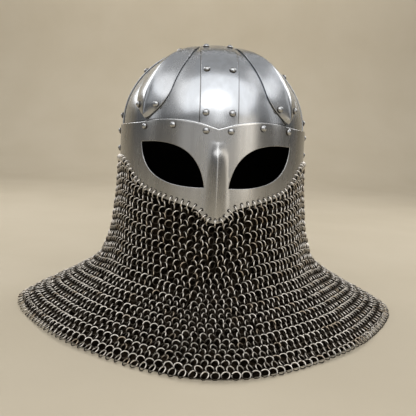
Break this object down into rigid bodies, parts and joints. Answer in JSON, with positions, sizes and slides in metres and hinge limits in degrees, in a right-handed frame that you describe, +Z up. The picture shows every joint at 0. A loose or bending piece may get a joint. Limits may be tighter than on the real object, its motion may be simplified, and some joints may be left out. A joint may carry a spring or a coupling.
{
  "type": "spectacle helmet with mail curtain",
  "caption": "Riveted iron helmet with a domed bowl, ridged ribs, an eye mask with nasal and a mail curtain that hangs from its rim to cover the face, neck and shoulders.",
  "frame": {"origin": "inside of the crown, where the wearer's head bears", "axes": "+Z up through the crown, -Y forward out of the face, +X to the wearer's left"},
  "size_m": [0.411, 0.4162, 0.2796],
  "materials": {
    "polished_iron": "satin polish with fine brush marks",
    "rivet_iron": "polished domed heads",
    "mail_iron": "oiled, darkened wire rings"
  },
  "bodies": {
    "root": {"skull": "polished_iron", "crest_strap": "polished_iron", "side_strap_left": "polished_iron", "side_strap_right": "polished_iron", "rib_front_left": "polished_iron", "rib_front_right": "polished_iron", "rib_back_left": "polished_iron", "rib_back_right": "polished_iron", "spectacle_mask": "polished_iron", "nape_band": "polished_iron", "rivet_crest_front_low_left": "rivet_iron", "rivet_crest_front_low_right": "rivet_iron", "rivet_crest_front_high_left": "rivet_iron", "rivet_crest_front_high_right": "rivet_iron", "rivet_crest_front_crown_left": "rivet_iron", "rivet_crest_front_crown_right": "rivet_iron", "rivet_crest_back_crown_left": "rivet_iron", "rivet_crest_back_crown_right": "rivet_iron", "rivet_crest_back_high_left": "rivet_iron", "rivet_crest_back_high_right": "rivet_iron", "rivet_crest_back_low_left": "rivet_iron", "rivet_crest_back_low_right": "rivet_iron", "rivet_side_low_front_left": "rivet_iron", "rivet_side_high_front_left": "rivet_iron", "rivet_side_crown_front_left": "rivet_iron", "rivet_band_upper_front_left": "rivet_iron", "rivet_band_lower_front_left": "rivet_iron", "rivet_side_low_back_left": "rivet_iron", "rivet_side_high_back_left": "rivet_iron", "rivet_side_crown_back_left": "rivet_iron", "rivet_band_upper_back_left": "rivet_iron", "rivet_band_lower_back_left": "rivet_iron", "rivet_nape_left": "rivet_iron", "rivet_brow_inner_left": "rivet_iron", "rivet_brow_middle_left": "rivet_iron", "rivet_brow_outer_left": "rivet_iron", "rivet_side_low_front_right": "rivet_iron", "rivet_side_high_front_right": "rivet_iron", "rivet_side_crown_front_right": "rivet_iron", "rivet_band_upper_front_right": "rivet_iron", "rivet_band_lower_front_right": "rivet_iron", "rivet_side_low_back_right": "rivet_iron", "rivet_side_high_back_right": "rivet_iron", "rivet_side_crown_back_right": "rivet_iron", "rivet_band_upper_back_right": "rivet_iron", "rivet_band_lower_back_right": "rivet_iron", "rivet_nape_right": "rivet_iron", "rivet_brow_inner_right": "rivet_iron", "rivet_brow_middle_right": "rivet_iron", "rivet_brow_outer_right": "rivet_iron", "rivet_rib_front_left_inner": "rivet_iron", "rivet_rib_front_left_outer": "rivet_iron", "rivet_rib_front_right_inner": "rivet_iron", "rivet_rib_front_right_outer": "rivet_iron", "rivet_rib_back_left_inner": "rivet_iron", "rivet_rib_back_left_outer": "rivet_iron", "rivet_rib_back_right_inner": "rivet_iron", "rivet_rib_back_right_outer": "rivet_iron", "mail_curtain": "mail_iron"}
  },
  "joints": []
}
